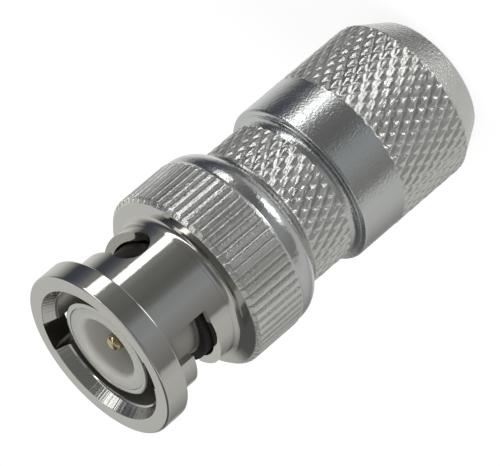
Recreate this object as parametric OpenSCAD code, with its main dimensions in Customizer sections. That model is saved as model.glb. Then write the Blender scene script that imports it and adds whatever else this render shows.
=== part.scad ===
// BNC plug, clamp type, male. Nickel plated brass with PTFE insulators and a gold plated pin.
// The axis is Z. The plug stands on its cable end and the mating face points up (+Z).
// Depths are measured in millimetres from the mating face down towards the cable end.

/* [Overall] */
// Length from the mating face to the cable end
overall_l = 33.4; // [33:0.1:34.5]
// Smoothness of the round surfaces
$fn = 96; // [48:12:180]

/* [Coupling nut] */
// Diameter of the front rim
rim_d = 13.6; // [13.2:0.1:14.2]
// Width of the front rim
rim_w = 1.95; // [1.5:0.05:2.4]
// Outer diameter of the bayonet sleeve
sleeve_d = 11.32; // [11.2:0.02:11.6]
// Bore of the bayonet sleeve, a running fit on the mating jack
sleeve_bore_d = 9.9; // [9.8:0.02:10.0]
// Depth at which the bayonet sleeve ends
sleeve_end = 7.75; // [7.5:0.05:8]
// Diameter over the straight knurl
grip_d = 14.5; // [14.2:0.1:15]
// Number of grooves in the straight knurl
grip_grooves = 60; // [40:2:72]
// Depth of a knurl groove
groove_depth = 0.2; // [0.1:0.02:0.3]
// Radius that rounds the rear of the coupling nut
grip_round = 2; // [1.6:0.1:2.1]

/* [Bayonet slots] */
// Width of the entry channel for the jack's lug
entry_w = 2.38; // [2.2:0.02:2.5]
// Depth at which the entry channel ends
entry_end = 6.1; // [5.9:0.05:6.2]
// Width of the ramp slot
ramp_w = 2.35; // [2.2:0.05:2.4]
// Travel of the lug from the entry to the detent hole
lock_angle = 92; // [88:1:94]
// Rise of the ramp towards the detent hole
ramp_rise = 0.86; // [0.6:0.02:0.9]
// Diameter of the detent hole
detent_d = 2.84; // [2.6:0.02:2.9]
// Depth of the detent hole's centre
detent_depth = 5.73; // [5.6:0.01:5.8]

/* [Body] */
// Outer diameter of the outer contact barrel
barrel_d = 7.9; // [7.8:0.02:8.1]
// Bore of the body, which holds the insulators
body_bore_d = 7.08; // [6.9:0.02:7.2]
// Depth of the barrel's front edge behind the coupling nut's
barrel_front = 0.79; // [0.6:0.01:1]
// Diameter of the journal on which the coupling nut turns
journal_d = 8.6; // [8.5:0.02:8.7]
// Diameter of the knurled grip of the body
body_d = 11.86; // [11.6:0.02:12]
// Depth of the body's rear face, where the clamp nut meets it
body_end = 19.4; // [19.2:0.1:19.6]
// Diameter of the threaded tail inside the clamp nut
tail_d = 9.8; // [9.6:0.05:9.9]

/* [Contacts and insulators] */
// Diameter of the centre pin
pin_d = 1.35; // [1.32:0.01:1.37]
// Depth of the tip of the centre pin
pin_front = 1.2; // [1:0.05:1.6]
// Diameter of the recess around the pin
recess_d = 4.83; // [4.8:0.01:5]
// Depth of the floor of the recess
recess_floor = 5.7; // [5:0.1:5.8]

/* [Clamp nut] */
// Diameter of the polished collar
collar_d = 13.06; // [12.6:0.02:13.6]
// Diameter over the diamond knurl
nut_d = 13.16; // [12.8:0.02:13.8]
// Diameter of the cable entry
cable_bore_d = 6.6; // [5:0.1:6.8]
// Depth at which the collar ends and the diamond knurl starts
collar_end = 24.2; // [23.5:0.1:25.5]
// Depth at which the rear taper starts
taper_start = 30.7; // [30.5:0.1:31.5]
// Angle of the rear taper to the axis, degrees
taper_angle = 30; // [20:1:45]

/* [Hidden] */

// running clearance on the radius between pieces that turn on each other
run = 0.08;
// gap between faces that only touch
gap = 0.02;
// bore of the coupling nut's rear flange and the depth of its front face
flange_bore = journal_d / 2 + run;
flange_front = 10.36;
gasket_front = 5.8;
gasket_rear = 6.98;
grip_start = 8.62;
grip_end = 12.95;
// the arc that rounds the coupling nut's rear, and the depth at which it ends
round_centre = 13.5;
round_r = grip_d / 2 - 0.1 - grip_round;
round_run = body_d / 2 - round_r;
nut_rear = round_centre + sqrt(pow(grip_round, 2) - pow(round_run, 2));
shoulder = nut_rear + gap;
// the interface gasket and the retaining ring fill the coupling nut's bore up to this radius
seat_r = 4.75;
// the stack of washers behind the retaining ring, which sits in a groove of the body
groove_r = 4.12;
ring_front = 7.5;
ring_t = 0.6;
washer_t = 0.3;
washer_out = 4.8;
washer_in = 4.4;
wave_h = 0.76;
wave_t = 0.2;
wave_crests = 3;
wave_steps = 72;
washer_front = ring_front + ring_t + 2 * gap;
wave_front = washer_front + washer_t + gap;
// the parts that grip the cable, inside the body's tail
tail_end = body_end + 2.5;
clamp_bore_r = 4.05;
clamp_bore_start = shoulder + 0.25;
clamp_part_r = 3.98;
jacket_r = 2.6;
gland_t = 1.9;
gland_rear = tail_end + 0.5;
// the insulators around the contact's shank
insulator_r = body_bore_d / 2 - gap;
insulator_split = 9;
shank_r = 1.05;
shank_hole_r = 1.1;
// the barrel and the pin are a little thicker behind the part that meets the jack
root = 0.17;
pin_root_r = pin_d / 2 + root;
web = 0.6;

nickel = [0.66, 0.66, 0.64];
ptfe = [0.93, 0.93, 0.9];
gold = [0.83, 0.68, 0.36];
bronze = [0.72, 0.55, 0.36];
silicone = [0.6, 0.2, 0.14];

// height above the cable end of a depth behind the mating face
function up(depth) = overall_l - depth;
// outline points given as [radius, depth], turned into [radius, height]
function outline(points) = [for (p = points) [p[0], up(p[1])]];
// points on an arc around c, from angle a0 to a1, where angle 90 points to greater depth
function arc(c, r, a0, a1, n = 12) =
    [for (i = [0:n]) let (a = a0 + (a1 - a0) * i / n) [c[0] + r * cos(a), c[1] + r * sin(a)]];

module turned(points) {
    rotate_extrude() polygon(outline(points));
}

// flat ring between two radii and two depths
module ring(r_in, r_out, front, rear) {
    turned([[r_in, front], [r_out, front], [r_out, rear], [r_in, rear]]);
}

// pie slice of the space around the axis, from angle a0 to a1, for cutting sectors
module sector(a0, a1, r, front, rear) {
    rim = [for (i = [0:8]) let (a = a0 + (a1 - a0) * i / 8) [r * cos(a), r * sin(a)]];
    translate([0, 0, up(rear)]) linear_extrude(rear - front) polygon(concat([[0, 0]], rim));
}

// straight knurl: a round bar with V grooves along it
module straight_knurl(d, grooves, depth, front, rear) {
    step = 360 / grooves;
    half = step * 0.24;
    // one groove: its two edges, its bottom between them, and the middle of the land after it
    groove = [[-half, d / 2], [0, d / 2 - depth], [half, d / 2], [step / 2, d / 2]];
    translate([0, 0, up(rear)]) linear_extrude(rear - front)
        polygon([for (i = [0:grooves - 1]) for (g = groove)
            let (a = i * step + g[0]) [g[1] * cos(a), g[1] * sin(a)]]);
}

// one bayonet slot: entry channel, ramp and detent hole, with the entry at +X
module bayonet_slot() {
    sleeve_r = sleeve_d / 2;
    cut_in = sleeve_bore_d / 2 - 1;
    ramp_mid = (entry_end - ramp_w / 2) + ramp_rise / 2;
    ramp_tilt = atan(ramp_rise / 2 / (sleeve_r * sin(lock_angle / 2)));
    // channel under the rim, as deep as the sleeve is thick
    intersection() {
        translate([cut_in, -entry_w / 2, up(rim_w)]) cube([sleeve_r, entry_w, rim_w + 1]);
        translate([0, 0, up(rim_w)]) cylinder(r = sleeve_r + 0.03, h = rim_w + 1);
    }
    // channel through the sleeve
    translate([cut_in, -entry_w / 2, up(entry_end)])
        cube([sleeve_r, entry_w, entry_end - rim_w + 0.01]);
    // ramp: a tilted slab between the entry and the detent
    intersection() {
        rotate([0, 0, -lock_angle / 2]) translate([0, 0, up(ramp_mid)])
            rotate([ramp_tilt, 0, 0]) translate([cut_in, -10, -ramp_w / 2]) cube([sleeve_r, 20, ramp_w]);
        sector(-lock_angle, 0, 9, rim_w + 0.5, sleeve_end);
    }
    // detent hole
    rotate([0, 0, -lock_angle]) translate([cut_in, 0, up(detent_depth)])
        rotate([0, 90, 0]) cylinder(d = detent_d, h = sleeve_r);
}

module coupling_nut() {
    rim_r = rim_d / 2;
    sleeve_r = sleeve_d / 2;
    bore_r = sleeve_bore_d / 2;
    grip_r = grip_d / 2;
    core_r = grip_r - groove_depth - 0.1;
    edge = 0.2;
    fillet = 0.58;
    face = sleeve_end + 0.05 + fillet;
    color(nickel) {
        difference() {
            turned(concat(
                [[bore_r + 0.6, 0]],
                arc([rim_r - edge, edge], edge, -90, 0, 4),
                arc([rim_r - edge, rim_w - edge], edge, 0, 90, 4),
                [[sleeve_r - 0.08, rim_w], [sleeve_r - 0.08, rim_w + 0.15], [sleeve_r, rim_w + 0.25],
                 [sleeve_r, sleeve_end], [sleeve_r - 0.1, sleeve_end + 0.05]],
                arc([sleeve_r - 0.1 + fillet, sleeve_end + 0.05], fillet, 180, 90, 8),
                [[grip_r - 0.3, face], [grip_r - 0.1, grip_start + 0.03], [core_r, grip_start + 0.18],
                 [core_r, grip_end - 0.15], [grip_r - 0.1, grip_end]],
                arc([round_r, round_centre], grip_round, 0, acos(round_run / grip_round)),
                [[flange_bore + 0.2, nut_rear], [flange_bore, nut_rear - 0.2],
                 [flange_bore, flange_front], [bore_r, flange_front], [bore_r, 0.92],
                 [bore_r + 0.15, 0.84]]));
            for (a = [0, 180]) rotate([0, 0, a]) bayonet_slot();
        }
        difference() {
            straight_knurl(grip_d, grip_grooves, groove_depth, grip_start, grip_end - 0.05);
            translate([0, 0, up(grip_end) - 1]) cylinder(r = bore_r + 1, h = grip_end - grip_start + 2);
        }
    }
}

module body() {
    barrel_r = barrel_d / 2;
    bore_r = body_bore_d / 2;
    journal_r = journal_d / 2;
    body_r = body_d / 2;
    tail_r = tail_d / 2;
    color(nickel) turned([
        [bore_r, barrel_front], [barrel_r - 0.1, barrel_front], [barrel_r, barrel_front + 0.1],
        [barrel_r, gasket_front - gap], [barrel_r + root, gasket_front - gap],
        [barrel_r + root, gasket_rear + gap], [journal_r, gasket_rear + gap],
        [journal_r, ring_front - gap], [groove_r, ring_front - gap],
        [groove_r, ring_front + ring_t + gap], [journal_r, ring_front + ring_t + gap],
        [journal_r, shoulder], [body_r - 0.43, shoulder], [body_r, shoulder + 0.38],
        [body_r, body_end - 0.1], [body_r - 0.1, body_end],
        [tail_r, body_end], [tail_r, tail_end - 0.1], [tail_r - 0.1, tail_end],
        [clamp_bore_r, tail_end], [clamp_bore_r, clamp_bore_start], [bore_r, clamp_bore_start]]);
}

module front_insulator() {
    recess_r = recess_d / 2;
    color(ptfe) turned([
        [recess_r + 0.05, barrel_front], [insulator_r, barrel_front], [insulator_r, insulator_split],
        [shank_hole_r, insulator_split], [shank_hole_r, recess_floor + web],
        [pin_root_r + gap, recess_floor + web],
        [pin_root_r + gap, recess_floor], [recess_r, recess_floor], [recess_r, barrel_front + 0.05]]);
}

module rear_insulator() {
    color(ptfe) ring(shank_hole_r, insulator_r, insulator_split + gap, 14);
}

module centre_contact() {
    pin_r = pin_d / 2;
    shank_front = recess_floor + web + gap;
    shank_rear = 14.8;
    cup_r = 0.55;
    cup_depth = 3.8;
    color(gold) difference() {
        turned(concat(
            [[0, pin_front]],
            arc([pin_r - 0.45, pin_front + 0.5], 0.45, -80, 0, 8),
            [[pin_r, recess_floor], [pin_root_r, recess_floor],
             [pin_root_r, shank_front], [shank_r, shank_front], [shank_r, shank_rear],
             [cup_r, shank_rear], [cup_r, shank_rear - cup_depth], [0, shank_rear - cup_depth - 0.3]]));
        // sight hole of the solder cup
        translate([0, 0, up(shank_rear - 0.9)]) rotate([0, 90, 0]) cylinder(r = 0.3, h = 2);
    }
}

module interface_gasket() {
    in_r = barrel_d / 2 + root + gap;
    bevel = 0.12;
    color(silicone) turned([
        [in_r, gasket_front], [seat_r - bevel, gasket_front], [seat_r, gasket_front + bevel],
        [seat_r, gasket_rear], [in_r, gasket_rear]]);
}

module retaining_ring() {
    color(bronze) difference() {
        ring(groove_r + gap, seat_r, ring_front, ring_front + ring_t);
        sector(65, 115, 9, ring_front - 1, ring_front + ring_t + 1);
    }
}

module flat_washer() {
    color(bronze) ring(washer_in, washer_out, washer_front, washer_front + washer_t);
}

// spring washer: a flat ring bent into waves around the axis
module wave_washer(front) {
    mid = up(front + wave_h / 2);
    rise = (wave_h - wave_t) / 2;
    function level(i) = mid + rise * sin(wave_crests * 360 * i / wave_steps);
    // corners of the strip's section, in order around it: inner low, inner high, outer high, outer low
    function corner(i, k) =
        let (a = 360 * i / wave_steps, r = k < 2 ? washer_in + 0.02 : washer_out, side = k % 3 == 0 ? -1 : 1)
        [r * cos(a), r * sin(a), level(i) + side * wave_t / 2];
    color(bronze) polyhedron(
        points = [for (i = [0:wave_steps - 1]) for (k = [0:3]) corner(i, k)],
        faces = [for (i = [0:wave_steps - 1]) for (k = [0:3]) for (half = [0, 1])
            let (j = (i + 1) % wave_steps, m = (k + 1) % 4)
            half == 0 ? [4 * i + k, 4 * j + k, 4 * j + m] : [4 * i + k, 4 * j + m, 4 * i + m]]);
}

module wave_washer_1() {
    wave_washer(wave_front);
}

module wave_washer_2() {
    wave_washer(wave_front + wave_h + gap);
}

module thrust_washer() {
    front = wave_front + 2 * (wave_h + gap);
    color(bronze) ring(washer_in, washer_out, front, flange_front - gap);
}

// braid clamp: a flange that seats in the body, with a thin cone that enters the gasket
module braid_clamp() {
    front = clamp_bore_start + gap;
    wire_r = 1.6;
    lip_in = 2.81;
    lip_out = 2.88;
    lip_end = front + 2.5;
    color(nickel) turned([
        [wire_r, front], [clamp_part_r, front], [clamp_part_r, front + 0.6], [3.3, front + 0.6],
        [lip_out, lip_end], [lip_in, lip_end], [2.55, front + 0.85], [wire_r, front + 0.85]]);
}

// cable gasket, with a V groove that the braid clamp's lip enters
module cable_gasket() {
    front = clamp_bore_start + 2.35;
    rear = gland_rear - gland_t - gap;
    color(silicone) turned([
        [jacket_r, front], [2.7, front], [2.845, front + 0.35], [3, front], [clamp_part_r, front],
        [clamp_part_r, rear], [jacket_r, rear]]);
}

module gland_washer() {
    color(nickel) ring(jacket_r, clamp_part_r, gland_rear - gland_t, gland_rear);
}

module clamp_nut() {
    collar_r = collar_d / 2;
    knurl_r = nut_d / 2;
    bore_r = cable_bore_d / 2;
    thread_r = tail_d / 2 + run;
    front = body_end + 0.05;
    neck_r = thread_r + 0.57;
    fillet = 0.55;
    face = front + 0.15 + fillet;
    edge = 0.15;
    taper_r = knurl_r - (overall_l - edge - taper_start) * tan(taper_angle);
    color(nickel) turned(concat(
        [[thread_r, front], [neck_r, front]],
        arc([neck_r + fillet, front + 0.15], fillet, 180, 90, 8),
        [[neck_r + fillet + 0.02, face + 0.05], [collar_r - 0.1, face + 0.16], [collar_r, face + 0.27],
         [collar_r, collar_end], [knurl_r, collar_end + 0.3], [knurl_r, taper_start],
         [taper_r, overall_l - edge], [taper_r - edge, overall_l],
         [bore_r + 2 * edge, overall_l], [bore_r, overall_l - 2 * edge],
         [bore_r, gland_rear + gap], [thread_r, gland_rear + gap]]));
}

coupling_nut();
body();
front_insulator();
rear_insulator();
centre_contact();
interface_gasket();
retaining_ring();
flat_washer();
wave_washer_1();
wave_washer_2();
thrust_washer();
braid_clamp();
cable_gasket();
gland_washer();
clamp_nut();
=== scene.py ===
"""Looks of a BNC cable plug, built around its CAD frame.

Sizes are in millimetres until a mesh is filled, and depths run from the mating face towards the
cable end.
"""

import math

import bmesh
import bpy
import numpy as np
from mathutils import Matrix, Vector


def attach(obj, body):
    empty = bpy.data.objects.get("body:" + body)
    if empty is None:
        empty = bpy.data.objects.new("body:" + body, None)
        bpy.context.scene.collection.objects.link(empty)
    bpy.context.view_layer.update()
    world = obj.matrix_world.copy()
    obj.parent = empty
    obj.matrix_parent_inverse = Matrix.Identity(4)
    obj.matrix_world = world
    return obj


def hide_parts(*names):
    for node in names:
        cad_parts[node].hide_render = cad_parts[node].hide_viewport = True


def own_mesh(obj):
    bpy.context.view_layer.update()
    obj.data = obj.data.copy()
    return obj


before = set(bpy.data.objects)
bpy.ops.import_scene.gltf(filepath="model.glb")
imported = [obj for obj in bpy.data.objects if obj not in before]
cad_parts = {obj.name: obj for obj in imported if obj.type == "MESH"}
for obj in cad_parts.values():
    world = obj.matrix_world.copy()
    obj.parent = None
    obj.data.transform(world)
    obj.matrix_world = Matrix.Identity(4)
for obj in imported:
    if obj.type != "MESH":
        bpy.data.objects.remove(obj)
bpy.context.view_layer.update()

bl_info = {
    "name": "BNC Cable Plug",
    "version": (1, 0, 0),
    "blender": (4, 5, 0),
    "location": "3D View > Sidebar > BNC Plug",
    "description": "Builds the looks and the studio of a BNC cable plug around its CAD frame",
    "category": "Object",
}

MM = 0.001
TURN = 2 * math.pi
PLUG_LENGTH = 33.4
# depth of the barrel's lip and of the insulator's face
FACE_DEPTH = 0.79
# an eased corner takes up no more than this share of either side
LONGEST_REACH = 0.45
# corners of an outline nearer than this, in millimetres, are one corner
SAME_CORNER = 1e-6
# points of a mesh nearer than this, in metres, are one point
SAME_POINT = 1e-7
# tightest turn, in degrees, that stays a visible edge when a mesh is shaded
CREASE = 34.0
# a face follows the turning if less than this share of its normal points round the axis
ROUND_SHARE = 0.02
# stands in for a length of nothing where something is divided by it
TINY = 1e-20


# ---- outlines and surfaces


def eased(corners, steps=5):
    """Closed outline with eased corners.

    Each corner is (radius, depth, reach). It becomes a quadratic curve that leaves one side a reach
    before the corner and joins the next a reach after it; a reach is cut to LONGEST_REACH of either
    side.
    """
    table = np.array(corners, float)
    point, reach = table[:, :2], table[:, 2]
    back, ahead = np.roll(point, 1, 0) - point, np.roll(point, -1, 0) - point
    back_length, ahead_length = np.linalg.norm(back, axis=1), np.linalg.norm(ahead, axis=1)
    reach = np.minimum(reach, LONGEST_REACH * np.minimum(back_length, ahead_length))
    start = point + back * (reach / back_length)[:, None]
    end = point + ahead * (reach / ahead_length)[:, None]
    t = np.linspace(0, 1, steps)[None, :, None]
    curve = (1 - t) ** 2 * start[:, None] + 2 * t * (1 - t) * point[:, None] + t**2 * end[:, None]
    line = curve.reshape(-1, 2)
    return line[np.linalg.norm(line - np.roll(line, 1, 0), axis=1) > SAME_CORNER]


def arc(centre, radius, first, last, steps):
    """Sharp corners on an arc: centre plus radius times cosine and sine; 90 degrees is deeper."""
    angle = np.radians(np.linspace(first, last, steps))
    r, d = centre[0] + radius * np.cos(angle), centre[1] + radius * np.sin(angle)
    return np.stack([r, d, np.zeros(steps)], 1).tolist()


def rows(outline, front, rear, step, face=0.0):
    """Outline with extra points.

    Each side between two depths and outside radius face is cut into equal steps.
    """
    ahead = np.roll(outline, -1, 0)
    span = np.abs(ahead[:, 1] - outline[:, 1])
    middle = (ahead + outline) / 2
    inside = (middle[:, 1] > front) & (middle[:, 1] < rear) & (middle[:, 0] > face)
    count = np.where(inside, np.maximum(1, np.ceil(span / step)), 1).astype(int)
    share = np.arange(count.sum()) - np.repeat(np.cumsum(count) - count, count)
    share = (share / np.repeat(count, count))[:, None]
    return np.repeat(outline, count, 0) * (1 - share) + np.repeat(ahead, count, 0) * share


def smooth(x, low, high):
    """Rises from 0 at low to 1 at high as 3 t squared less 2 t cubed."""
    t = np.clip((x - low) / (high - low), 0, 1)
    return t * t * (3 - 2 * t)


def near_groove(phase):
    """Distance to the nearest groove, in pitches: 0 in a groove and 0.5 midway between two."""
    return np.abs((phase + 0.5) % 1.0 - 0.5)


def fill(name, points, quads):
    """New object whose mesh has these points, in millimetres, and these quads."""
    mesh = bpy.data.meshes.new(name)
    mesh.vertices.add(len(points))
    mesh.vertices.foreach_set("co", (points * MM).astype(np.float32).ravel())
    mesh.loops.add(quads.size)
    mesh.loops.foreach_set("vertex_index", quads.astype(np.int32).ravel())
    mesh.polygons.add(len(quads))
    mesh.polygons.foreach_set("loop_start", np.arange(0, quads.size, 4, dtype=np.int32))
    mesh.update(calc_edges=True)
    mesh.validate()
    made = bpy.data.objects.new(name, mesh)
    bpy.context.scene.collection.objects.link(made)
    return made


def wrapped(name, points):
    """Closed skin over a grid of points.

    Rows go round a section, columns round the axis, and both join up.
    """
    count, across = points.shape[:2]
    i, j = np.meshgrid(np.arange(count), np.arange(across), indexing="ij")
    i2, j2 = (i + 1) % count, (j + 1) % across
    quads = np.stack([i * across + j, i2 * across + j, i2 * across + j2, i * across + j2], -1)
    return fill(name, points.reshape(-1, 3), quads.reshape(-1, 4))


def turned(name, outline, angle, reshape=None):
    """Surface of revolution of a closed outline.

    A point is (radius cos angle, radius sin angle, length less depth). reshape gives a new radius
    from the radius, depth and angle of the whole grid, as for a knurl or a thread.
    """
    r, a = np.meshgrid(outline[:, 0], angle, indexing="ij")
    d = np.broadcast_to(outline[:, 1][:, None], r.shape)
    if reshape is not None:
        r = reshape(r, d, a)
    return wrapped(name, np.stack([r * np.cos(a), r * np.sin(a), PLUG_LENGTH - d], -1))


def even(columns):
    """Angles of evenly spaced columns round the axis."""
    return np.arange(columns) * TURN / columns


def merged(made):
    """Merges points that coincide, as at the tip of the pin; the faces still point as they did."""
    work = bmesh.new()
    work.from_mesh(made.data)
    bmesh.ops.remove_doubles(work, verts=work.verts, dist=SAME_POINT)
    work.to_mesh(made.data)
    work.free()
    return made


def round_axis(place):
    """Unit vectors round the axis: each point of the plane, turned a quarter, over its length."""
    turned_place = np.stack([-place[:, 1], place[:, 0]], 1)
    return turned_place / np.maximum(np.linalg.norm(turned_place, axis=1), TINY)[:, None]


def shade(made):
    """Sets the normal of every face corner.

    It is the sum of the area vectors of the faces round that point that lie within CREASE of the
    corner's own face. A face that follows the turning then loses the part of its normals that
    points round the axis, so a cut edge leaves no mark on the turned surface next to it.
    """
    mesh = made.data
    corners, faces, count = len(mesh.loops), len(mesh.polygons), len(mesh.vertices)
    vertex, start, total = np.empty(corners, int), np.empty(faces, int), np.empty(faces, int)
    normal, area, co = np.empty(faces * 3), np.empty(faces), np.empty(count * 3)
    mesh.loops.foreach_get("vertex_index", vertex)
    mesh.polygons.foreach_get("loop_start", start)
    mesh.polygons.foreach_get("loop_total", total)
    mesh.polygons.foreach_get("normal", normal)
    mesh.polygons.foreach_get("area", area)
    mesh.vertices.foreach_get("co", co)
    normal, co = normal.reshape(-1, 3), co.reshape(-1, 3)
    order = np.argsort(start)
    face = np.repeat(order, total[order])
    # the corners that meet at a point stand together in sort, so a step round the point is a step
    # along sort
    sort = np.argsort(vertex, kind="stable")
    degree = np.bincount(vertex, minlength=count)
    first = np.cumsum(degree) - degree
    place = np.empty(corners, int)
    place[sort] = np.arange(corners)
    rank, base, around = place - first[vertex], first[vertex], degree[vertex]
    own, out = normal[face], np.zeros((corners, 3))
    limit = math.cos(math.radians(CREASE))
    for step in range(int(degree.max())):
        other = face[sort[base + (rank + step) % around]]
        use = (step < around) & (np.einsum("ij,ij->i", normal[other], own) > limit)
        out += normal[other] * (area[other] * use)[:, None]
    centre = np.zeros((faces, 2))
    np.add.at(centre, face, co[vertex][:, :2])
    plain = np.abs(np.einsum("ij,ij->i", normal[:, :2], round_axis(centre))) < ROUND_SHARE
    here = round_axis(co[vertex][:, :2])
    out[:, :2] -= here * (np.einsum("ij,ij->i", out[:, :2], here) * plain[face])[:, None]
    out /= np.maximum(np.linalg.norm(out, axis=1), TINY)[:, None]
    mesh.polygons.foreach_set("use_smooth", np.ones(faces, bool))
    mesh.normals_split_custom_set(out.tolist())
    return made


def cut(made, cutters):
    """Takes closed cutters out of a piece, and removes them."""
    for cutter in cutters:
        change = made.modifiers.new("slot", "BOOLEAN")
        change.operation, change.solver, change.object = "DIFFERENCE", "EXACT", cutter
    bpy.context.view_layer.update()
    whole = made.evaluated_get(bpy.context.evaluated_depsgraph_get())
    mesh = bpy.data.meshes.new_from_object(whole)
    made.modifiers.clear()
    made.data = mesh
    for cutter in cutters:
        bpy.data.objects.remove(cutter)
    return made


def finish_piece(made, body, replaced, finishes, zone=None):
    """Gives a piece its shading, finishes and body, and hides the CAD nodes that it stands for.

    zone gives the number of the finish from the radius and depth of each face's middle.
    """
    shade(made)
    mesh = made.data
    mesh.materials.clear()
    for material in finishes:
        mesh.materials.append(material)
    if zone is not None:
        middle = np.empty(len(mesh.polygons) * 3)
        mesh.polygons.foreach_get("center", middle)
        x, y, z = middle.reshape(-1, 3).T / MM
        number = zone(np.hypot(x, y), PLUG_LENGTH - z)
        mesh.polygons.foreach_set("material_index", number.astype(np.int32))
    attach(made, body)
    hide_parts(*replaced)
    return made


# ---- finishes

# size of the patches in which the gloss wanders
GLOSS_PATCH_MM = 2.5
# the part of a noise's range that it mostly keeps to
NOISE_LOW, NOISE_HIGH = 0.3, 0.7
# radius at which streaks are read
STREAK_RADIUS_MM = 5


def colour(hex_code):
    """Linear colour of an sRGB hex value.

    Near black it is the value over 12.92, and else (value + 0.055) / 1.055 to the power 2.4.
    """
    part = np.array([int(hex_code[k : k + 2], 16) for k in (0, 2, 4)]) / 255
    linear = np.where(part <= 0.04045, part / 12.92, ((part + 0.055) / 1.055) ** 2.4)
    return (*linear.tolist(), 1.0)


def add(tree, kind, sockets=None, **settings):
    """Adds a node, gives it its settings, and sets or links its sockets.

    A node that is given for a socket is linked from its first output.
    """
    made = tree.nodes.new(kind)
    for name, value in settings.items():
        setattr(made, name, value)
    for name, value in (sockets or {}).items():
        if isinstance(value, bpy.types.Node):
            value = value.outputs[0]
        if isinstance(value, bpy.types.NodeSocket):
            tree.links.new(value, made.inputs[name])
        else:
            made.inputs[name].default_value = value
    return made


def marks(tree, kind):
    """Coordinates for a surface's marks.

    Grain is the same every way. Rings, as a turning tool leaves, don't change round the axis: they
    read the radius and the height. Streaks don't change along a radius: they read a point at one
    radius on the same side of the axis.
    """
    place = add(tree, "ShaderNodeTexCoord").outputs["Object"]
    if kind == "grain":
        return place
    flat = add(tree, "ShaderNodeVectorMath", {0: place, 1: (1, 1, 0)}, operation="MULTIPLY")
    if kind == "streaks":
        unit = add(tree, "ShaderNodeVectorMath", {0: flat}, operation="NORMALIZE")
        reach = {0: unit, "Scale": STREAK_RADIUS_MM * MM}
        return add(tree, "ShaderNodeVectorMath", reach, operation="SCALE")
    radius = add(tree, "ShaderNodeVectorMath", {0: flat}, operation="LENGTH").outputs["Value"]
    height = add(tree, "ShaderNodeSeparateXYZ", {"Vector": place}).outputs["Z"]
    return add(tree, "ShaderNodeCombineXYZ", {"X": radius, "Z": height})


def finish(name, base, roughness, metallic, mark_mm, height, uneven, kind="grain", **more):
    """Material with fine marks in its surface and a slightly uneven gloss.

    mark_mm is the size of the marks, height their height as a share of that size, and uneven how
    far the roughness wanders either way. Real marks of plating, turning and moulding are 0.01 to
    0.05 mm across, which is too fine to show, so they are all drawn several times as coarse.
    """
    material = bpy.data.materials.get(name) or bpy.data.materials.new(name)
    material.use_nodes = True
    tree = material.node_tree
    tree.nodes.clear()
    grain = {"Vector": marks(tree, kind), "Scale": 1 / (mark_mm * MM), "Detail": 3.0}
    fine = add(tree, "ShaderNodeTexNoise", grain)
    patches = {"Vector": marks(tree, "grain"), "Scale": 1 / (GLOSS_PATCH_MM * MM), "Detail": 2.0}
    broad = add(tree, "ShaderNodeTexNoise", patches)
    spread = {"Value": broad, "From Min": NOISE_LOW, "From Max": NOISE_HIGH}
    spread |= {"To Min": roughness - uneven, "To Max": roughness + uneven}
    gloss = add(tree, "ShaderNodeMapRange", spread)
    relief = {"Height": fine, "Distance": mark_mm * height * MM, "Strength": 1.0}
    bump = add(tree, "ShaderNodeBump", relief)
    look = {"Base Color": tuple(base), "Metallic": metallic, "Roughness": gloss, "Normal": bump}
    shader = add(tree, "ShaderNodeBsdfPrincipled", look | more)
    add(tree, "ShaderNodeOutputMaterial", {"Surface": shader})
    return material


def nickel(name, roughness, mark_mm, height, uneven, kind="grain", tone="nickel"):
    """Nickel plate on brass, whose look depends on how the brass under it was cut.

    tone is the name of its colour among the settings.
    """
    base = getattr(bpy.context.scene.bnc_finishes, tone)
    return finish(name, base, roughness, 1.0, mark_mm, height, uneven, kind)


def polished_nickel():
    """Turned and buffed: a mirror with a faint warm grey, and a grain too faint to break it."""
    return nickel("bright_nickel_plate", 0.07, 0.3, 0.008, 0.02)


def buffed_nickel():
    """The rounding behind the grip, buffed lightly: its highlights are soft and mottled."""
    return nickel("buffed_nickel_plate", 0.18, 0.3, 0.08, 0.05, tone="satin")


def satin_nickel():
    """Turned but not buffed: softer bands, and a fine grain that glitters."""
    return nickel("satin_nickel_plate", 0.19, 0.2, 0.13, 0.04, tone="satin")


def knurled_nickel():
    """Rolled by the knurling wheels: pressed up metal is rougher than a turned face."""
    return nickel("knurled_nickel_plate", 0.29, 0.2, 0.2, 0.05, tone="rough")


def matt_nickel():
    """The taper, left as it was turned: pale, matt and finely pitted."""
    return nickel("matt_nickel_plate", 0.2, 0.2, 0.34, 0.05, tone="rough")


def chattered_nickel():
    """The cone at the mouth, cut with a chattering tool: short streaks across its width."""
    return nickel("chattered_nickel_plate", 0.22, 0.2, 0.2, 0.05, "streaks")


def bore_nickel_painted_shade():
    """Inside a deep bore the plate is thin and dull, and its darker grey is painted shade."""
    return nickel("thin_nickel_plate", 0.45, 0.2, 0.03, 0.05, "rings", "bore")


def hidden_nickel():
    """Dull nickel plate, as barrelled on small inner parts."""
    return nickel("dull_nickel_plate", 0.3, 0.2, 0.03, 0.05)


# ---- settings

# what every colour setting shares: red, green, blue and alpha, shown as a swatch
SWATCH = {"size": 4, "min": 0, "max": 1, "subtype": "COLOR"}


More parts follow.
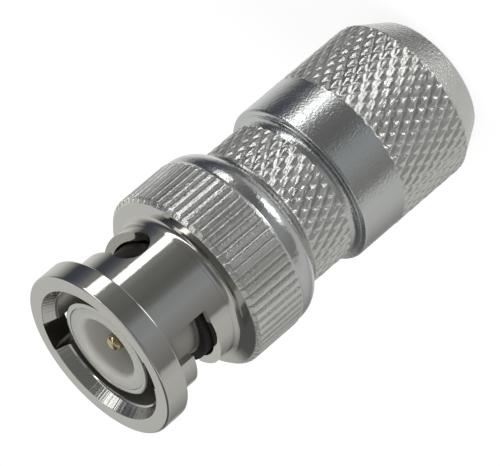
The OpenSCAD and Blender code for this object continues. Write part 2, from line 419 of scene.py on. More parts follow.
class PlugSizes(bpy.types.PropertyGroup):
    """Sizes of the knurls and the thread."""

    grooves: bpy.props.IntProperty(
        name="Grooves", description="Grooves round the coupling nut", default=60, min=24, max=90
    )
    groove_depth: bpy.props.FloatProperty(
        name="Groove depth", description="Depth of a straight groove",
        default=0.2 * MM, min=0.05 * MM, max=0.3 * MM, unit="LENGTH",
    )
    crown: bpy.props.FloatProperty(
        name="Crown", description="How far a straight land rounds off to its sides",
        default=0.02 * MM, min=0, max=0.08 * MM, unit="LENGTH",
    )
    nut_diamonds: bpy.props.IntProperty(
        name="Nut diamonds", description="Diamonds round the clamp nut", default=42, min=24, max=72
    )
    body_diamonds: bpy.props.IntProperty(
        name="Body diamonds", description="Diamonds round the body", default=38, min=24, max=72
    )
    diamond_depth: bpy.props.FloatProperty(
        name="Diamond depth", description="Depth of a diamond knurl",
        default=0.21 * MM, min=0.05 * MM, max=0.3 * MM, unit="LENGTH",
    )
    thread_pitch: bpy.props.FloatProperty(
        name="Thread pitch", description="Travel of the clamp nut in one turn",
        default=0.8 * MM, min=0.5 * MM, max=1.2 * MM, unit="LENGTH",
    )


class PlugFinishes(bpy.types.PropertyGroup):
    """Colours of the finishes."""

    nickel: bpy.props.FloatVectorProperty(
        name="Nickel", description="Colour of the nickel plate",
        default=colour("D4D3CE"), **SWATCH
    )
    satin: bpy.props.FloatVectorProperty(
        name="Satin nickel", description="Colour of the unbuffed nickel plate",
        default=colour("D8DADA"), **SWATCH
    )
    rough: bpy.props.FloatVectorProperty(
        name="Rough nickel", description="Colour of nickel plate on rough metal",
        default=colour("E8E8E4"), **SWATCH
    )
    # the darker grey of the thin plate in the bores is painted shade
    bore: bpy.props.FloatVectorProperty(
        name="Bore", description="Colour of the thin nickel in a bore",
        default=colour("B0ADA7"), **SWATCH
    )
    gold: bpy.props.FloatVectorProperty(
        name="Gold", description="Colour of the gold plate",
        default=colour("D2C49C"), **SWATCH
    )
    # white PTFE drawn grey, darker than it is: painted shade
    ptfe: bpy.props.FloatVectorProperty(
        name="PTFE", description="Colour of the insulators",
        default=colour("B2B2AC"), **SWATCH
    )
    # dark red silicone drawn nearly black: the extra darkness is painted shade
    silicone: bpy.props.FloatVectorProperty(
        name="Silicone", description="Colour of the gaskets",
        default=colour("120A09"), **SWATCH
    )
    bronze: bpy.props.FloatVectorProperty(
        name="Bronze", description="Colour of the spring washers",
        default=colour("C99A6B"), **SWATCH
    )


# ---- knurls and threads

# height that the shallow family of a diamond knurl keeps in its grooves, as a share of the whole
SHALLOW_FLOOR = 0.3
# power of the sine that a diamond rises by; below 1 it rounds the top
DIAMOND_POWER = 0.9
# height of a thread with 60 degree flanks, less its flats, as a share of its pitch
THREAD_SHARE = 0.5


def diamond_groove(diamonds, axial, depth):
    """Depth of a diamond knurl at any depth along the axis and angle round it.

    Two families of helical grooves cross. The phase of each is diamonds times the angle over a
    turn, plus or less the depth over the axial pitch, and each rises from its groove as the sine of
    half a turn of the phase, to the power DIAMOND_POWER. One wheel has bitten less deep, so its
    family keeps SHALLOW_FLOOR of its height in the groove. The height is the lower of the two,
    eased where they meet: their product over the cube root of the sum of their cubes.
    """

    def rise(phase):
        """Height in one family, kept just above nothing so that the sum of cubes can divide."""
        return 0.001 + np.sin(math.pi * near_groove(phase)) ** DIAMOND_POWER

    def groove(d, a):
        shallow = SHALLOW_FLOOR + (1 - SHALLOW_FLOOR) * rise(diamonds * a / TURN + d / axial)
        deep = rise(diamonds * a / TURN - d / axial)
        return depth * (1 - shallow * deep / (shallow**3 + deep**3) ** (1 / 3))

    return groove


def thread_groove(pitch):
    """Depth below the crest of a right-handed thread.

    It is a triangle wave of the height over the pitch less the angle over a turn, stretched to 2.4
    times its rise and clipped, which leaves the flats of root and crest.
    """

    def groove(d, a):
        phase = (PLUG_LENGTH - d) / pitch - a / TURN
        return THREAD_SHARE * pitch * np.clip(2.4 * near_groove(phase) - 0.1, 0, 1)

    return groove


# ---- pieces


class BNC_OT_coupling_nut(bpy.types.Operator):
    """Build the slotted and knurled coupling nut"""

    bl_idname = "bnc.coupling_nut"
    bl_label = "Coupling nut"

    # radii of the sleeve, its bore, the flange that runs on the body, and the grip
    sleeve, bore, flange, grip = 5.66, 4.95, 4.38, 7.25
    # where the grip is knurled: outside this radius and between these depths
    knurl_foot, knurl_front, knurl_rear = 6.9, 8.3, 13.0
    # half the width of a straight groove, in pitches
    groove_half = 0.2
    # half the width of the entry channels, and the depth of their end
    entry_half, entry_end = 1.19, 6.1
    # width of a ramp along the axis, its rise, and its way round the axis
    ramp_width, ramp_rise, lock = 2.35, 0.86, math.radians(92)
    # diameter of a detent hole, and the depth of its middle
    hole_width, hole_depth = 2.84, 5.73
    # cutters start here, inside the bore
    cutter_start = 4.2

    def outline(self):
        """Rim, sleeve, grip and rounding from the mouth back, then the flange and the bore."""
        return eased(
            [
                (5.55, 0, 0.03),
                (6.79, 0, 0.2),
                (6.79, 1.95, 0.16),
                (5.6, 1.95, 0.03),
                (5.6, 2.08, 0.03),
                (self.sleeve, 2.18, 0.04),
                (self.sleeve, 7.75, 0.03),
                *arc((6.14, 7.8), 0.58, 180, 90, 9),
                (6.93, 8.52, 0.05),
                (self.grip, 8.85, 0.1),
                (self.grip, 12.95, 0.12),
                (7.15, 13.15, 0.1),
                *arc((5.15, 13.5), 2.0, 0, 66, 15),
                (5.93, 15.34, 0.03),
                (4.58, 15.34, 0.03),
                (self.flange, 15.14, 0.03),
                (self.flange, 10.36, 0.02),
                (self.bore, 10.36, 0.02),
                (self.bore, 0.95, 0.05),
                (5.1, 0.84, 0.04),
            ]
        )

    def straight_groove(self, r, d, a):
        """Radius cut by V grooves along the axis, which run out before the rear rounding.

        A groove gets shallower as the power 1.2 of what is left of its half width. The land between
        two grooves falls away from its middle as the square of the distance.
        """
        sizes = bpy.context.scene.bnc_sizes
        near = near_groove(sizes.grooves * a / TURN)
        groove = sizes.groove_depth / MM * np.clip(1 - near / self.groove_half, 0, 1) ** 1.2
        land = sizes.crown / MM * np.clip((0.5 - near) / (0.5 - self.groove_half), 0, 1) ** 2
        knurled = self.grip - (groove + land) * (1 - smooth(d, 12.65, 13.1))
        inside = (d > self.knurl_front) & (d < 13.3) & (r > self.knurl_foot)
        return np.where(inside, np.minimum(r, knurled), r)

    def zone(self, r, d):
        """Knurl, dull bore whose darker grey is painted shade, cone at the mouth and rear rounding;
        the rest is polished.
        """
        knurl = (r > self.knurl_foot) & (d > self.knurl_front) & (d < self.knurl_rear)
        bore = (r < 5.0) & (d > 0.9)
        cone = (r < 5.53) & (d < 0.85)
        rounding = (r > 5.5) & (d >= self.knurl_rear)
        return knurl + 2 * bore + 3 * cone + 4 * rounding

    def entry_cutters(self):
        """Prisms for the entry channels on both sides of the axis.

        The section has flat sides and a round back, y from one side to the other and x the root of
        the radius squared less y squared. It stands at two heights and is drawn to a point at each
        end.
        """
        back = self.sleeve + 0.03
        y = np.linspace(-self.entry_half, self.entry_half, 13)
        x = np.sqrt(back**2 - y**2)
        inner = [[self.cutter_start, self.entry_half], [self.cutter_start, -self.entry_half]]
        section = np.concatenate([np.stack([x, y], 1), inner])
        tip = np.repeat([section.mean(0)], len(section), 0)
        top, low = PLUG_LENGTH + 0.5, PLUG_LENGTH - self.entry_end
        heights = np.repeat([[top], [top], [low], [low]], len(section), 1)
        grid = np.concatenate([np.array([tip, section, section, tip]), heights[..., None]], -1)
        return [merged(wrapped("entry", grid * np.array([side, side, 1]))) for side in (1, -1)]

    def ramp_cutters(self):
        """Slabs for the ramps: a tilted slab, as four edges carried round from entry to detent.

        The height is the middle's plus slope times radius times sine of the angle from the middle
        of the travel.
        """
        slope = self.ramp_rise / 2 / (self.sleeve * math.sin(self.lock / 2))
        half = self.ramp_width / 2 * math.sqrt(1 + slope**2)
        middle = PLUG_LENGTH - (self.entry_end - self.ramp_width / 2 + self.ramp_rise / 2)
        a = np.linspace(-self.lock, 0.0, 60)
        r = np.array([self.cutter_start, 6.3, 6.3, self.cutter_start])[:, None]
        up = np.array([half, half, -half, -half])[:, None]
        z = middle + slope * r * np.sin(a + self.lock / 2) + up
        slabs = []
        for turn in (0, math.pi):
            x, y = r * np.cos(a + turn), r * np.sin(a + turn)
            grid = np.stack([x, y, np.broadcast_to(z, x.shape)], -1).transpose(1, 0, 2)
            tips = [np.repeat(grid[k].mean(0)[None], 4, 0) for k in (0, -1)]
            slabs.append(merged(wrapped("ramp", np.concatenate([tips[:1], grid, tips[1:]])[::-1])))
        return slabs

    def detent_cutters(self):
        """Round bars for the detent holes.

        A circle, cosine to the side and sine up, is carried out along a radius.
        """
        a = even(64)[:, None]
        bars = []
        for turn in (0, math.pi):
            out = np.array([math.cos(turn - self.lock), math.sin(turn - self.lock), 0])
            side = np.array([-out[1], out[0], 0])
            ring = (np.cos(a) * side + np.sin(a) * np.array([0, 0, 1.0])) * self.hole_width / 2
            hole = np.array([0, 0, PLUG_LENGTH - self.hole_depth])
            near, far = hole + out * self.cutter_start, hole + out * 6.4
            grid = np.stack([near + ring * 0, near + ring, far + ring, far + ring * 0])
            bars.append(merged(wrapped("detent", grid[::-1])))
        return bars

    def execute(self, context):
        sizes = context.scene.bnc_sizes
        # columns stand close together in a groove and on its edges, and wide apart on the land
        share = np.array([0, 0.03, 0.08, 0.14, 0.2, 0.3, 0.42, 0.58, 0.7, 0.8, 0.86, 0.92, 0.97])
        angle = ((np.arange(sizes.grooves)[:, None] + share) * TURN / sizes.grooves).ravel()
        outline = rows(self.outline(), 12.6, 13.2, 0.06, 7)
        nut = turned("coupling_nut_shell", outline, angle, self.straight_groove)
        cut(nut, self.entry_cutters() + self.ramp_cutters() + self.detent_cutters())
        finishes = [polished_nickel(), knurled_nickel(), bore_nickel_painted_shade()]
        finishes += [chattered_nickel(), buffed_nickel()]
        finish_piece(nut, "coupling", ["coupling_nut"], finishes, self.zone)
        return {"FINISHED"}


class BNC_OT_body(bpy.types.Operator):
    """Build the body, with its contact barrel, diamond knurl and threaded tail"""

    bl_idname = "bnc.body"
    bl_label = "Body"

    # radii of the barrel's lip, the necks, the journal, the grip and the crest of the thread
    lip, neck, journal, grip, crest = 3.95, 4.12, 4.3, 5.93, 4.9
    # radii of the bores of barrel and tail
    bore, tail_bore = 3.54, 4.05
    # pitch of the diamonds along the axis, and rows or columns of the mesh in a diamond
    axial, cells = 1.56, 16

    def outline(self):
        """Barrel, journal with its groove, grip and tail from the mouth back, then the bores."""
        return eased(
            [
                (self.bore, FACE_DEPTH, 0.04),
                (self.lip, FACE_DEPTH, 0.13),
                (self.lip, 5.78, 0.02),
                (self.neck, 5.78, 0.02),
                (self.neck, 7.0, 0.02),
                (self.journal, 7.0, 0.02),
                (self.journal, 7.48, 0.02),
                (self.neck, 7.48, 0.02),
                (self.neck, 8.12, 0.02),
                (self.journal, 8.12, 0.02),
                (self.journal, 15.36, 0.02),
                (5.5, 15.36, 0.05),
                (self.grip, 15.74, 0.08),
                (self.grip, 19.36, 0.05),
                (5.88, 19.4, 0.02),
                (self.crest, 19.4, 0.02),
                (self.crest, 21.8, 0.02),
                (4.75, 21.9, 0.02),
                (self.tail_bore, 21.9, 0.02),
                (self.tail_bore, 15.61, 0.02),
                (self.bore, 15.61, 0.02),
            ],
            steps=3,
        )

    def reshape(self, r, d, a):
        """Radius cut by the diamond knurl on the grip and by the thread on the tail."""
        sizes = bpy.context.scene.bnc_sizes
        knurl = diamond_groove(sizes.body_diamonds, self.axial, sizes.diamond_depth / MM)(d, a)
        knurl = knurl * smooth(d, 15.7, 15.95)
        thread = thread_groove(sizes.thread_pitch / MM)(d, a) * smooth(d, 19.42, 19.8)
        on_grip = (r > 5.4) & (d > 15.5) & (d < 19.41)
        on_tail = (r > 4.7) & (r < 5.2) & (d > 19.39)
        r = np.where(on_grip, np.minimum(r, self.grip - knurl), r)
        return np.where(on_tail, np.minimum(r, self.crest - thread), r)

    def zone(self, r, d):
        """Diamond knurl on the grip, the dull barrel down inside the sleeve whose darker grey is
        painted shade, and its bright lip.
        """
        knurl = (r > 5.6) & (d > 15.6) & (d < 19.4)
        barrel, lip = (r < 4.4) & (d > 0.95), (r < 4.4) & (d <= 0.95)
        return 1 * knurl + 2 * barrel + 3 * lip

    def execute(self, context):
        outline = rows(self.outline(), 15.7, 19.38, self.axial / self.cells, 5.5)
        outline = rows(outline, 19.42, 21.85, 0.08, 4.7)
        angle = even(context.scene.bnc_sizes.body_diamonds * self.cells)
        made = turned("body_shell", outline, angle, self.reshape)
        finishes = [satin_nickel(), knurled_nickel(), bore_nickel_painted_shade(), polished_nickel()]
        finish_piece(made, "plug_body", ["body"], finishes, self.zone)
        return {"FINISHED"}


class BNC_OT_clamp_nut(bpy.types.Operator):
    """Build the clamp nut, with its collar, diamond knurl and taper"""

    bl_idname = "bnc.clamp_nut"
    bl_label = "Clamp nut"

    # radii of the collar, the grip, the threaded bore and the cable entry
    collar, grip, bore, entry = 6.53, 6.59, 4.98, 3.3
    # pitch of the diamonds along the axis, and rows or columns of the mesh in a diamond
    axial, cells = 1.48, 14
    # step from the bore in to the thread's crest, which then lies 0.05 mm outside the tail's
    thread_step = 0.03

    def outline(self):
        """Lip, collar, grip and taper from the front back, then the cable entry and the thread."""
        return eased(
            [
                (self.bore, 19.45, 0.03),
                (5.55, 19.45, 0.06),
                *arc((6.1, 19.6), 0.55, 180, 90, 9),
                (6.13, 20.17, 0.01),
                (6.13, 20.22, 0.01),
                (6.43, 20.28, 0.05),
                (self.collar, 20.42, 0.08),
                (self.collar, 24.2, 0.03),
                (self.grip, 24.4, 0.06),
                (6.58, 30.7, 0.12),
                (6.292, 31.2, 0),
                (5.11, 33.25, 0.08),
                (4.96, PLUG_LENGTH, 0.05),
                (3.6, PLUG_LENGTH, 0.04),
                (self.entry, 33.1, 0.04),
                (self.entry, 22.42, 0.02),
                (self.bore, 22.42, 0.02),
            ],
            steps=3,
        )

    def reshape(self, r, d, a):
        """Radius cut by the diamond knurl outside, and inside by a thread that fits the tail's."""
        sizes = bpy.context.scene.bnc_sizes
        knurl = diamond_groove(sizes.nut_diamonds, self.axial, sizes.diamond_depth / MM)(d, a)
        knurl = knurl * smooth(d, 24.15, 24.45)
        thread = thread_groove(sizes.thread_pitch / MM)(d, a)
        ends = smooth(d, 19.5, 19.9) * (1 - smooth(d, 22.0, 22.35))
        outside = (r > 5.8) & (d > 24.1) & (d < 32.5)
        inside = (r < 5.05) & (r > 4.9) & (d < 22.4)
        r = np.where(outside, np.minimum(r, self.grip - knurl), r)
        return np.where(inside, self.bore - self.thread_step * ends - thread * ends, r)

    def zone(self, r, d):
        """Diamond knurl between the collar and the matt taper."""
        knurl = (r > 6.2) & (d > 24.3) & (d < 30.8)
        taper = (r > 3.7) & (d > 30.8)
        return 1 * knurl + 2 * taper

    def execute(self, context):
        outline = rows(self.outline(), 24.1, 31.3, self.axial / self.cells, 5.8)
        outline = rows(outline, 19.47, 22.0, 0.1)
        angle = even(context.scene.bnc_sizes.nut_diamonds * self.cells)
        made = turned("clamp_nut_shell", outline, angle, self.reshape)
        finishes = [satin_nickel(), knurled_nickel(), matt_nickel()]
        finish_piece(made, "clamp", ["clamp_nut"], finishes, self.zone)
        return {"FINISHED"}


class BNC_OT_contacts(bpy.types.Operator):
    """Build the front insulator and the centre contact"""

    bl_idname = "bnc.contacts"
    bl_label = "Insulator and contact"

    # radii of the insulator, its recess, and the hole that the contact stands in
    insulator, recess, hole = 3.52, 2.415, 1.1
    # radii of the contact's pin, its shoulder, its stem and the solder cup
    pin, shoulder, stem, cup = 0.675, 0.845, 1.05, 0.55

    def insulator_outline(self):
        """Mating face, outside, and back through the hole and the recess."""
        return eased(
            [
                (self.recess, FACE_DEPTH, 0.5),
                (self.insulator, FACE_DEPTH, 0.06),
                (self.insulator, 9, 0.02),
                (self.hole, 9, 0.02),
                (self.hole, 6.3, 0.02),
                (0.865, 6.3, 0.02),
                (0.865, 5.7, 0.02),
                (self.recess, 5.7, 0.15),
            ]
        )

    def contact_outline(self):
        """Round tip, pin, shoulder and stem, and back through the solder cup to the axis."""
        corners = [
            (0, 1.2, 0),
            *arc((0.225, 1.65), 0.45, -88, 0, 12),
            (self.pin, 5.7, 0),
            (self.shoulder, 5.7, 0),
            (self.shoulder, 6.32, 0),
            (self.stem, 6.32, 0),
            (self.stem, 14.8, 0),
            (self.cup, 14.8, 0),
            (self.cup, 11, 0),
            (0, 10.7, 0),
        ]
        return np.array(corners)[:, :2]

    def execute(self, context):
        finishes = context.scene.bnc_finishes
        # PTFE turned from rod: milky white, waxy, and it lets light in a little way; its colour is
        # drawn grey, darker than white PTFE, as painted shade
        milky = {"Subsurface Weight": 0.8, "Subsurface Radius": (1.0, 0.97, 0.92)}
        milky["Subsurface Scale"] = 1.3 * MM
        ptfe = finish("turned_ptfe", finishes.ptfe, 0.42, 0.0, 0.15, 0.04, 0.04, "rings", **milky)
        made = turned("front_insulator_shell", self.insulator_outline(), even(180))
        finish_piece(made, "plug_body", ["front_insulator"], [ptfe])
        # gold plate on turned brass: warm, bright, with faint rings from the tool
        gold = finish("gold_plate", finishes.gold, 0.11, 1.0, 0.12, 0.05, 0.03, "rings")
        contact = merged(turned("centre_contact_shell", self.contact_outline(), even(96)))
        finish_piece(contact, "plug_body", ["centre_contact"], [gold])
        return {"FINISHED"}


class BNC_OT_wave_washers(bpy.types.Operator):
    """Build the two wave washers in one fixed shape; the real ones flatten as the coupling nut is
    drawn forward
    """

    bl_idname = "bnc.wave_washers"
    bl_label = "Wave washers"

    # depths at which the two washers start; the first lies on the flat washer
    fronts = {"wave_washer_1": 8.46, "wave_washer_2": 9.24}
    # inner and outer radius, half the thickness, height of a wave either way, and number of waves
    inner, outer, half, wave, waves = 4.42, 4.8, 0.1, 0.28, 3
    # share of the pair's depth that is left when the nut is drawn right forward
    keep = 0.675

    def execute(self, context):
        # phosphor bronze strip, bare: warm brown, softly bright from rolling
        tone = context.scene.bnc_finishes.bronze
        bronze = finish("phosphor_bronze", tone, 0.28, 1.0, 0.15, 0.02, 0.04)
        a = even(144)
        r = np.array([self.inner, self.outer, self.outer, self.inner])[:, None]
        up = np.array([self.half, self.half, -self.half, -self.half])[:, None]
        for name, front in self.fronts.items():
            # a strip's section carried round: its middle height is a sine of waves times the angle
            middle = PLUG_LENGTH - front - (self.half + self.wave)
            z = middle + self.wave * np.sin(self.waves * a) + up
            made = wrapped(name + "_strip", np.stack([r * np.cos(a), r * np.sin(a), z], -1))
            finish_piece(made, "plug_body", [name], [bronze])
            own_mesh(made)
        return {"FINISHED"}


class BNC_OT_inner_parts(bpy.types.Operator):
    """Give the CAD parts inside the plug their finishes"""

    bl_idname = "bnc.inner_parts"
    bl_label = "Inner parts"

    def execute(self, context):
        finishes = context.scene.bnc_finishes
        # moulded silicone: matt and soft, dark red; its colour is drawn darker still, nearly black,
        # as painted shade in the slots
        rubber_painted_shade = finish("moulded_silicone", finishes.silicone, 0.6, 0.0, 0.2, 0.03, 0.05)
        # bronze strip, stamped: softly bright
        strip = finish("bronze_strip", finishes.bronze, 0.28, 1.0, 0.15, 0.02, 0.04)
        # sawn PTFE: duller than a turned face, and drawn in the same grey, which is painted shade
        ptfe = finish("sawn_ptfe", finishes.ptfe, 0.5, 0.0, 0.2, 0.05, 0.05)
        kinds = {
            "interface_gasket": rubber_painted_shade,
            "cable_gasket": rubber_painted_shade,
            "retaining_ring": strip,
            "flat_washer": strip,
            "thrust_washer": strip,
            "rear_insulator": ptfe,
            "braid_clamp": hidden_nickel(),
            "gland_washer": hidden_nickel(),
        }
        for name, material in kinds.items():
            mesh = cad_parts[name].data
            mesh.materials.clear()
            mesh.materials.append(material)
        return {"FINISHED"}


# ---- studio


def direction(azimuth, elevation):
    """Unit vector towards an azimuth and elevation in degrees.

    x is sine of azimuth times cosine of elevation, y less cosine times cosine, and z sine of
    elevation.
    """
    turn, rise = math.radians(azimuth), math.radians(elevation)
    flat = math.cos(rise)
    return Vector((math.sin(turn) * flat, -math.cos(turn) * flat, math.sin(rise)))


class BNC_OT_studio(bpy.types.Operator):
    """Set up the floor, the soft light and the camera"""

    bl_idname = "bnc.studio"
    bl_label = "Studio"

    # the point that the camera looks at and its distance, and its lens and film, all in mm
    aim, distance = (0.441, 0.723, 18.06), 391.17
    focal_length, film = 398.4, 36
    # its azimuth, elevation and roll, degrees
    azimuth, elevation, roll = -53.432, 25.309, -130.45
    # each soft box: name, azimuth, elevation, size in metres and power in watts
    lamps = (("key_softbox", -100, 48, 0.35, 1.1), ("fill_softbox", 20, 35, 0.4, 0.55))
    # height of the plug's middle and distance of the soft boxes, metres
    plug_middle, lamp_distance = 0.017, 0.5
    # even light of the room on matt surfaces
    soft_light = (0.52, 0.52, 0.51, 1)
    # half the side of the floor, mm, and its own glow, which takes it almost to white
    floor_half, floor_glow = 2000.0, 0.82

    # strength of the room in reflections; brightnesses are divided by it, so that no colour is
    # above white
    room_strength = 3.0
    # direction round the axis that counts as the front of the room, in degrees from X towards Y
    front = -143.5
    # tint and brightness of the room round the plug, at degrees clockwise from the front, seen from
    # above
    room = (
        (-180, "warm", 0.62), (-150, "warm", 0.68), (-138, "warm", 0.62), (-128, "warm", 0.42),
        (-119, "warm", 0.22), (-112, "cool", 0.07), (-100, "cool", 0.075), (-90, "cool", 0.12),
        (-80, "warm", 0.24), (-54, "warm", 0.27), (-45, "warm", 0.18), (-20, "warm", 0.13),
        (-9, "plain", 0.16), (0, "cold", 0.29), (20, "cold", 0.33), (35, "plain", 0.28),
        (50, "brown", 0.23), (62, "warm", 0.2), (68, "warm", 0.5), (82, "warm", 0.56),
        (110, "warm", 0.52), (140, "warm", 0.31), (152, "warm", 0.23), (165, "warm", 0.42),
        (180, "warm", 0.62),
    )
    tints = {
        "warm": (1.0, 1.0, 0.975),
        "plain": (1.0, 1.0, 1.0),
        "cool": (0.9, 0.98, 1.18),
        "cold": (0.96, 1.01, 1.04),
        "brown": (1.02, 1.0, 0.93),
    }
    # straight down the room is pale: the heights between which that sets in, and its brightness
    down = (-0.78, -0.92, 0.5)
    # a tall window on the left, whose foot is not far below the level of the plug: degrees from the
    # front, degrees from its middle between which it fades, heights between which its foot fades,
    # and brightness
    window = (-66.5, (9, 5), (-0.6, -0.52), 2.4)
    # round places: degrees from the front, height, reach and soft edge in degrees, brightness
    spots = (
        # pale wall low behind, and a dark corner low on its left
        (163, -0.76, 8, 14, 0.68), (-160, -0.66, 8, 12, 0.85), (-124, -0.9, 9, 11, 0.13),
        # small lamp low in front
        (0, -0.82, 9, 6, 2.4),
        # dark ceiling in front, on the right, and behind on the right
        (15, 0.6, 15, 15, 0.14), (115, 0.64, 10, 8, 0.14), (150, 0.62, 21, 7, 0.1),
    )

    def camera(self, scene):
        """Camera at an azimuth and elevation round a point, rolled about its own line of sight."""
        back = direction(self.azimuth, self.elevation)
        level = back.to_track_quat("Z", "Y").to_matrix()
        lens = bpy.data.cameras.new("camera")
        lens.lens, lens.sensor_width = self.focal_length, self.film
        lens.clip_start, lens.clip_end = 0.01, 10
        made = bpy.data.objects.new("camera", lens)
        scene.collection.objects.link(made)
        turn = Matrix.Rotation(math.radians(self.roll), 3, "Z")
        place = (Vector(self.aim) + back * self.distance) * MM
        made.matrix_world = Matrix.Translation(place) @ (level @ turn).to_4x4()
        scene.camera = made

    def bands(self, tree, side):
        """Colour of the room at a turn from the front, from the stops of its table."""
        span = {"Value": side, "From Min": -math.pi, "From Max": math.pi}
        made = add(tree, "ShaderNodeValToRGB", {"Fac": add(tree, "ShaderNodeMapRange", span)})
        ramp = made.color_ramp
        ramp.elements.remove(ramp.elements[1])
        for k, (degrees, tint, level) in enumerate(self.room):
            at = (degrees + 180) / 360
            stop = ramp.elements[0] if k == 0 else ramp.elements.new(at)
            stop.position = at
            stop.color = (*(level * part / self.room_strength for part in self.tints[tint]), 1)
        return made

    def shares(self, tree, place, height, side):
        """Share and brightness of the way down, the window and each round place.

        Each share rises smoothly from 0 at its outer edge to 1 at its inner edge. A round place's
        is read from the cosine of the angle to its middle.
        """
        smoothed = {"interpolation_type": "SMOOTHSTEP"}
        outer, inner, level = self.down
        edges = {"Value": height, "From Min": outer, "From Max": inner}
        found = [(add(tree, "ShaderNodeMapRange", edges, **smoothed), level)]
        turn, (outer, inner), (foot, sill), level = self.window
        away = add(tree, "ShaderNodeMath", {0: side, 1: math.radians(turn)}, operation="SUBTRACT")
        away = add(tree, "ShaderNodeMath", {0: away}, operation="ABSOLUTE")
        edges = {"Value": away, "From Min": math.radians(outer), "From Max": math.radians(inner)}
        across = add(tree, "ShaderNodeMapRange", edges, **smoothed)
        edges = {"Value": height, "From Min": foot, "From Max": sill}
        up = add(tree, "ShaderNodeMapRange", edges, **smoothed)
        found.append((add(tree, "ShaderNodeMath", {0: across, 1: up}, operation="MULTIPLY"), level))
        for turn, low, reach, edge, level in self.spots:
            flat, way = math.sqrt(1 - low * low), math.radians(self.front - turn)
            sight = {0: place, 1: (flat * math.cos(way), flat * math.sin(way), low)}
            near = add(tree, "ShaderNodeVectorMath", sight, operation="DOT_PRODUCT")
            outer, inner = math.cos(math.radians(reach + edge)), math.cos(math.radians(reach))
            edges = {"Value": near.outputs["Value"], "From Min": outer, "From Max": inner}
            found.append((add(tree, "ShaderNodeMapRange", edges, **smoothed), level))
        return found

    def world(self, scene):
        """White for the camera, an even soft white for matt surfaces, and bands for metal.

        The bands turn with the direction round the axis, and each share is laid over what came
        before it.
        """
        made = bpy.data.worlds.new("studio")
        scene.world = made
        made.use_nodes = True
        tree = made.node_tree
        tree.nodes.clear()
        place = add(tree, "ShaderNodeTexCoord").outputs["Generated"]
        split = add(tree, "ShaderNodeSeparateXYZ", {"Vector": place}).outputs
        turn = add(tree, "ShaderNodeMath", {0: split["Y"], 1: split["X"]}, operation="ARCTAN2")
        from_front = {0: math.radians(self.front), 1: turn}
        side = add(tree, "ShaderNodeMath", from_front, operation="SUBTRACT")
        side = add(tree, "ShaderNodeMath", {0: side, 1: math.pi, 2: -math.pi}, operation="WRAP")
        seen = self.bands(tree, side)
        for share, level in self.shares(tree, place, split["Z"], side):
            grey = (level / self.room_strength,) * 3 + (1,)
            over = {"Factor": share, 6: seen, 7: grey}
            seen = add(tree, "ShaderNodeMix", over, data_type="RGBA").outputs[2]
        bands = {"Color": seen, "Strength": self.room_strength}
        studio = add(tree, "ShaderNodeBackground", bands)
        soft = add(tree, "ShaderNodeBackground", {"Color": self.soft_light})
        white = add(tree, "ShaderNodeBackground", {"Color": (1, 1, 1, 1)})
        path = add(tree, "ShaderNodeLightPath").outputs
        light = {0: path["Is Glossy Ray"], 1: soft, 2: studio}
        whole = {0: path["Is Camera Ray"], 1: add(tree, "ShaderNodeMixShader", light), 2: white}
        add(tree, "ShaderNodeOutputWorld", {"Surface": add(tree, "ShaderNodeMixShader", whole)})

    def floor(self, scene):
        """Pale floor that glows to the camera, to meet the backdrop and keep its shadow."""
        half = self.floor_half
        corners = np.array([[-half, -half, 0], [half, -half, 0], [half, half, 0], [-half, half, 0]])
        made = fill("floor", corners, np.array([[0, 1, 2, 3]]))
        material = bpy.data.materials.new("pale_paper")
        material.use_nodes = True
        tree = material.node_tree
        tree.nodes.clear()
        seen = add(tree, "ShaderNodeLightPath").outputs["Is Camera Ray"]
        matt = add(tree, "ShaderNodeBsdfDiffuse", {"Color": colour("898989")})
        level = add(tree, "ShaderNodeMath", {0: seen, 1: self.floor_glow}, operation="MULTIPLY")
        glow = add(tree, "ShaderNodeEmission", {"Color": (1, 1, 1, 1), "Strength": level})
        both = add(tree, "ShaderNodeAddShader", {0: matt, 1: glow})
        add(tree, "ShaderNodeOutputMaterial", {"Surface": both})
        made.data.materials.append(material)
        # the bands of the room run down to the plug's foot, as they would over a dark bench
        made.visible_glossy = False

    def lamp(self, scene, name, azimuth, elevation, size, power):
        """Soft box that faces the middle of the plug."""
        back = direction(azimuth, elevation)
        light = bpy.data.lights.new(name, "AREA")
        light.shape, light.size, light.energy = "DISK", size, power
        made = bpy.data.objects.new(name, light)
        place = Vector((0, 0, self.plug_middle)) + back * self.lamp_distance
        turn = back.to_track_quat("Z", "Y").to_matrix().to_4x4()
        made.matrix_world = Matrix.Translation(place) @ turn
        made.visible_glossy = False
        scene.collection.objects.link(made)

    def execute(self, context):
        scene = context.scene
        scene.view_settings.view_transform = "Standard"
        self.world(scene)
        self.floor(scene)
        for lamp in self.lamps:
            self.lamp(scene, *lamp)
        self.camera(scene)
        return {"FINISHED"}


STEPS = (
    BNC_OT_coupling_nut,
    BNC_OT_body,
    BNC_OT_clamp_nut,
    BNC_OT_contacts,
    BNC_OT_wave_washers,
    BNC_OT_inner_parts,
    BNC_OT_studio,
)


class BNC_PT_plug(bpy.types.Panel):
    """Lists the settings and the build steps of the plug"""

    bl_idname = "BNC_PT_plug"
    bl_label = "BNC Plug"
    bl_space_type = "VIEW_3D"
    bl_region_type = "UI"
    bl_category = "BNC Plug"

    def draw(self, context):
        for group in (context.scene.bnc_sizes, context.scene.bnc_finishes):
            box = self.layout.box()
            for name in group.bl_rna.properties.keys():
                if name not in ("rna_type", "name"):
                    box.prop(group, name)
        for step in STEPS:
            self.layout.operator(step.bl_idname)


CLASSES = (PlugSizes, PlugFinishes, *STEPS, BNC_PT_plug)


def register():
    for made in CLASSES:
        bpy.utils.register_class(made)
    bpy.types.Scene.bnc_sizes = bpy.props.PointerProperty(type=PlugSizes)
    bpy.types.Scene.bnc_finishes = bpy.props.PointerProperty(type=PlugFinishes)


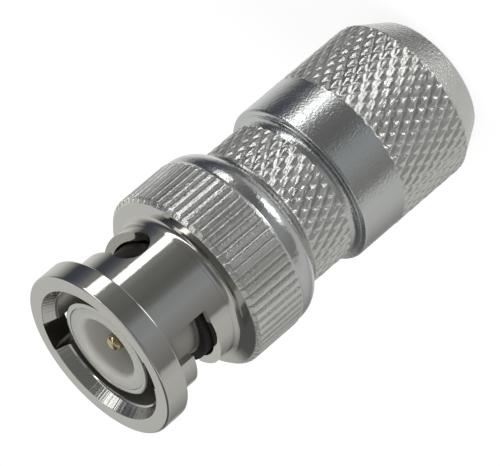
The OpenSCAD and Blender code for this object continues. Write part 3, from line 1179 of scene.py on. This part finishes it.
def unregister():
    del bpy.types.Scene.bnc_finishes
    del bpy.types.Scene.bnc_sizes
    for made in reversed(CLASSES):
        bpy.utils.unregister_class(made)


def main():
    """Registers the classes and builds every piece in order."""
    register()
    for step in STEPS:
        group, name = step.bl_idname.split(".")
        getattr(getattr(bpy.ops, group), name)()


if __name__ == "__main__":
    main()
